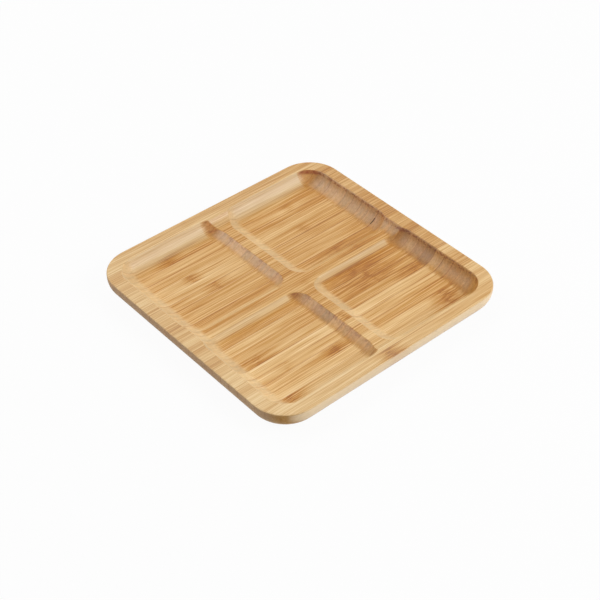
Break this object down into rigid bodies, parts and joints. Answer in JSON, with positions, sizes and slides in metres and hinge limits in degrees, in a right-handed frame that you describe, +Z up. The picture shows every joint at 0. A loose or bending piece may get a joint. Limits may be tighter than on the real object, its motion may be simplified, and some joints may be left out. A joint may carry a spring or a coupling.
{
  "type": "divided compartment plate",
  "caption": "Square bamboo serving plate with rounded corners, an undercut outer edge and coved compartments carved between low cross dividers.",
  "frame": {"origin": "centre of the flat base, on the surface that the plate stands on", "axes": "+Z up, X along the bamboo strips, Y across them"},
  "size_m": [0.255, 0.255, 0.019],
  "materials": {
    "bamboo": "satin, oiled"
  },
  "bodies": {
    "root": {"bamboo_strip_01": "bamboo", "bamboo_strip_02": "bamboo", "bamboo_strip_03": "bamboo", "bamboo_strip_04": "bamboo", "bamboo_strip_05": "bamboo", "bamboo_strip_06": "bamboo", "bamboo_strip_07": "bamboo", "bamboo_strip_08": "bamboo", "bamboo_strip_09": "bamboo", "bamboo_strip_10": "bamboo", "bamboo_strip_11": "bamboo", "bamboo_strip_12": "bamboo", "bamboo_strip_13": "bamboo", "bamboo_strip_14": "bamboo", "bamboo_strip_15": "bamboo", "bamboo_strip_16": "bamboo", "bamboo_strip_17": "bamboo", "bamboo_strip_18": "bamboo", "bamboo_strip_19": "bamboo", "bamboo_strip_20": "bamboo", "bamboo_strip_21": "bamboo", "bamboo_strip_22": "bamboo", "bamboo_strip_23": "bamboo", "bamboo_strip_24": "bamboo"}
  },
  "joints": []
}
